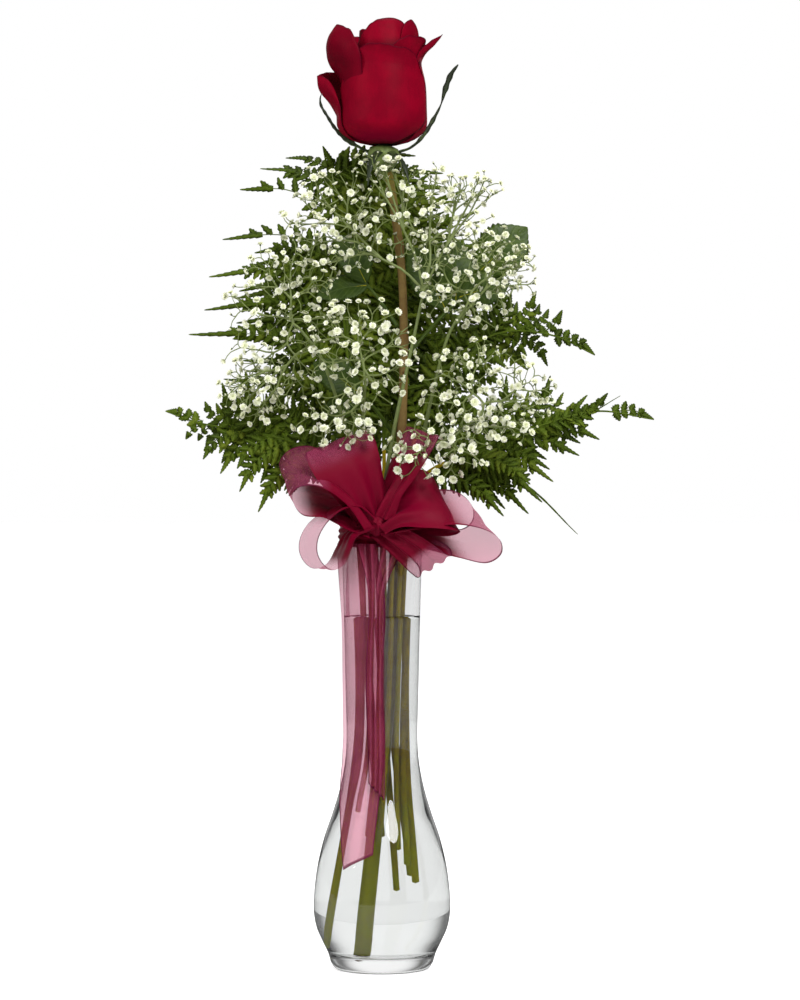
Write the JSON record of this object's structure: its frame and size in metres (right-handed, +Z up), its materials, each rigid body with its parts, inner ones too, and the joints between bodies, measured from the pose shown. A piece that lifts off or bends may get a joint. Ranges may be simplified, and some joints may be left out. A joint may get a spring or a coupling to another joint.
{
  "type": "rose in a bud vase",
  "caption": "Red rose with fern and baby's breath standing in a clear glass bud vase with water, with a sheer ribbon bow round the neck.",
  "frame": {"origin": "centre of the vase's flat underside", "axes": "+Z up along the vase, the bow faces -Y, +X to the viewer's right"},
  "size_m": [0.2423, 0.1395, 0.4739],
  "materials": {
    "clear_glass": "gloss",
    "water": "gloss",
    "petal_red": "matte",
    "stem_green": "satin",
    "leaf_green": "satin",
    "fern_green": "satin",
    "blossom_white": "matte",
    "organza_red": "satin"
  },
  "bodies": {
    "root": {"babys_breath_back": "blossom_white", "babys_breath_centre": "blossom_white", "babys_breath_left": "blossom_white", "babys_breath_low_right": "blossom_white", "babys_breath_right": "blossom_white", "babys_breath_top": "blossom_white", "bow_knot": "organza_red", "bow_loop_hanging_left": "organza_red", "bow_loop_left": "organza_red", "bow_loop_lower_right": "organza_red", "bow_loop_right": "organza_red", "bow_loop_top": "organza_red", "bow_loop_upper_left": "organza_red", "bow_loop_upper_right": "organza_red", "bow_tail_long": "organza_red", "bow_tail_short": "organza_red", "fern_frond_back": "fern_green", "fern_frond_left": "fern_green", "fern_frond_low_left": "fern_green", "fern_frond_low_right": "fern_green", "fern_frond_right": "fern_green", "glass_vase": "clear_glass", "neck_tie": "organza_red", "rose_leaf_left": "leaf_green", "rose_leaf_low": "leaf_green", "rose_leaf_right": "leaf_green", "rose_petal_01": "petal_red", "rose_petal_02": "petal_red", "rose_petal_03": "petal_red", "rose_petal_04": "petal_red", "rose_petal_05": "petal_red", "rose_petal_06": "petal_red", "rose_petal_07": "petal_red", "rose_petal_08": "petal_red", "rose_petal_09": "petal_red", "rose_petal_10": "petal_red", "rose_petal_11": "petal_red", "rose_petal_12": "petal_red", "rose_petal_13": "petal_red", "rose_petal_14": "petal_red", "rose_petal_15": "petal_red", "rose_sepal_1": "leaf_green", "rose_sepal_2": "leaf_green", "rose_sepal_3": "leaf_green", "rose_sepal_4": "leaf_green", "rose_sepal_5": "leaf_green", "rose_stem": "stem_green", "water": "water"}
  },
  "joints": []
}
